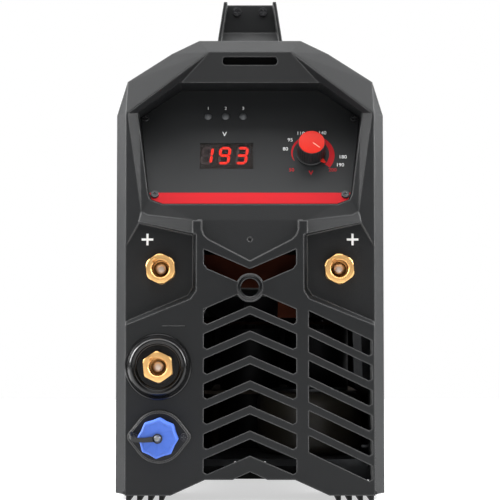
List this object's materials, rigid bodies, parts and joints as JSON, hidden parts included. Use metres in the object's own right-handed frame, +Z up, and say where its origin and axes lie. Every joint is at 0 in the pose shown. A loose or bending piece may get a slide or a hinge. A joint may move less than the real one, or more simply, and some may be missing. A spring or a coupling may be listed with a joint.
{
  "type": "stud welder",
  "caption": "Capacitor-discharge stud welder: steel case with moulded covers, tilted panel with dial and display, brass weld sockets, capped control connector, carrying handle, rear fan.",
  "frame": {"origin": "middle of the floor under the whole machine, at the centre of its bounding box", "axes": "+X to the right seen from the front, +Y from the front panel to the rear, +Z up"},
  "size_m": [0.2048, 0.4702, 0.383],
  "materials": {
    "cover_plastic": "fine-grained moulded dark grey plastic",
    "case_paint": "satin grey powder coat on sheet steel",
    "zinc_sheet": "zinc-plated sheet steel",
    "foot_rubber": "matt black rubber",
    "black_steel": "black zinc-plated steel",
    "bright_steel": "bright zinc-plated steel",
    "handle_plastic": "grained black-grey moulded plastic",
    "panel_foil": "grey polyester foil with a printed red stripe",
    "window_glass": "smoked clear window",
    "display_black": "black display housing with red segments",
    "lamp_lens": "milky lamp lens, unlit",
    "board_green": "green circuit board",
    "brass": "turned brass",
    "knob_black": "black moulded knob with knurled skirt",
    "knob_red": "red-orange knob cap",
    "insulator_black": "glossy black insulator",
    "copper": "rolled copper bar",
    "connector_black": "black glass-filled connector shell",
    "cap_blue": "blue moulded screw cap",
    "can_sleeve": "dark shrink sleeve",
    "clamp_card": "brown laminated card",
    "sink_aluminium": "extruded aluminium",
    "coil_tape": "yellow tape over a copper winding",
    "resistor_gold": "gold anodised aluminium",
    "fan_plastic": "black moulded fan plastic",
    "guard_chrome": "chromed guard wire",
    "switch_black": "glossy black switch body",
    "rocker_red": "red rocker",
    "gland_black": "black nylon gland"
  },
  "bodies": {
    "machine": {"front_cover": "cover_plastic", "rear_cover": "cover_plastic", "case_wrap": "case_paint", "base_plate": "zinc_sheet", "deck_plate": "zinc_sheet", "rubber_feet": "foot_rubber", "cover_screws": "black_steel", "case_screws": "bright_steel", "handle_bracket_front": "handle_plastic", "handle_bracket_rear": "handle_plastic", "handle_grip": "handle_plastic", "handle_screws": "black_steel", "bracket_bolts": "black_steel", "control_panel": "panel_foil", "panel_screws": "bright_steel", "display_window": "window_glass", "display_module": "display_black", "status_lamps": "lamp_lens", "control_board": "board_green", "board_pillars": "brass", "potentiometer": "bright_steel", "potentiometer_nut": "brass", "plus_socket_left": "brass", "plus_socket_right": "brass", "gun_socket_ring": "insulator_black", "gun_socket": "brass", "socket_nuts": "brass", "socket_bolts": "bright_steel", "front_busbar": "copper", "gun_busbar": "copper", "connector_shell": "connector_black", "connector_insert": "connector_black", "connector_screws": "bright_steel", "cap_strap": "foot_rubber", "capacitors": "can_sleeve", "capacitor_clamp": "clamp_card", "bus_plus": "copper", "bus_minus": "copper", "heat_sink": "sink_aluminium", "thyristor": "display_black", "transformer": "coil_tape", "transformer_clamp": "zinc_sheet", "power_board": "board_green", "power_pillars": "brass", "bleed_resistor": "resistor_gold", "fan_frame": "fan_plastic", "fan_guard": "guard_chrome", "fan_screws": "bright_steel", "switch_housing": "switch_black", "gland_body": "gland_black", "gland_dome": "gland_black", "gland_locknut": "gland_black"},
    "knob": {"knob_shaft": "bright_steel", "knob_body": "knob_black", "knob_cap": "knob_red"},
    "fan_wheel": {"fan_rotor": "fan_plastic"},
    "rocker": {"switch_rocker": "rocker_red"},
    "cap_slider": {"cap_rivet": "bright_steel"},
    "screw_cap": {"connector_cap": "cap_blue"}
  },
  "joints": [
    {"name": "knob_turn", "type": "hinge", "parent": "machine", "child": "knob", "pos_m": [0.0462, -0.17825, 0.2585], "axis": [0, -0.9063, 0.4226], "range_deg": [-5, 265]},
    {"name": "fan_spin", "type": "hinge", "parent": "machine", "child": "fan_wheel", "pos_m": [0, 0.1971, 0.112], "axis": [0, 1, 0], "continuous": true},
    {"name": "rocker_tilt", "type": "hinge", "parent": "machine", "child": "rocker", "pos_m": [0.052, 0.2101, 0.282], "axis": [1, 0, 0], "range_deg": [-22, 0]},
    {"name": "cap_travel", "type": "slide", "parent": "machine", "child": "cap_slider", "axis": [0, -1, 0], "range_m": [0, 0.009], "deforming": ["cap_strap"]},
    {"name": "cap_turn", "type": "hinge", "parent": "cap_slider", "child": "screw_cap", "pos_m": [-0.0665, -0.2249, 0.047], "axis": [0, -1, 0], "range_deg": [0, 1080]}
  ],
  "couplings": [
    {"joint": "cap_travel", "follows": "cap_turn", "m_per_rad": 0.000477}
  ]
}
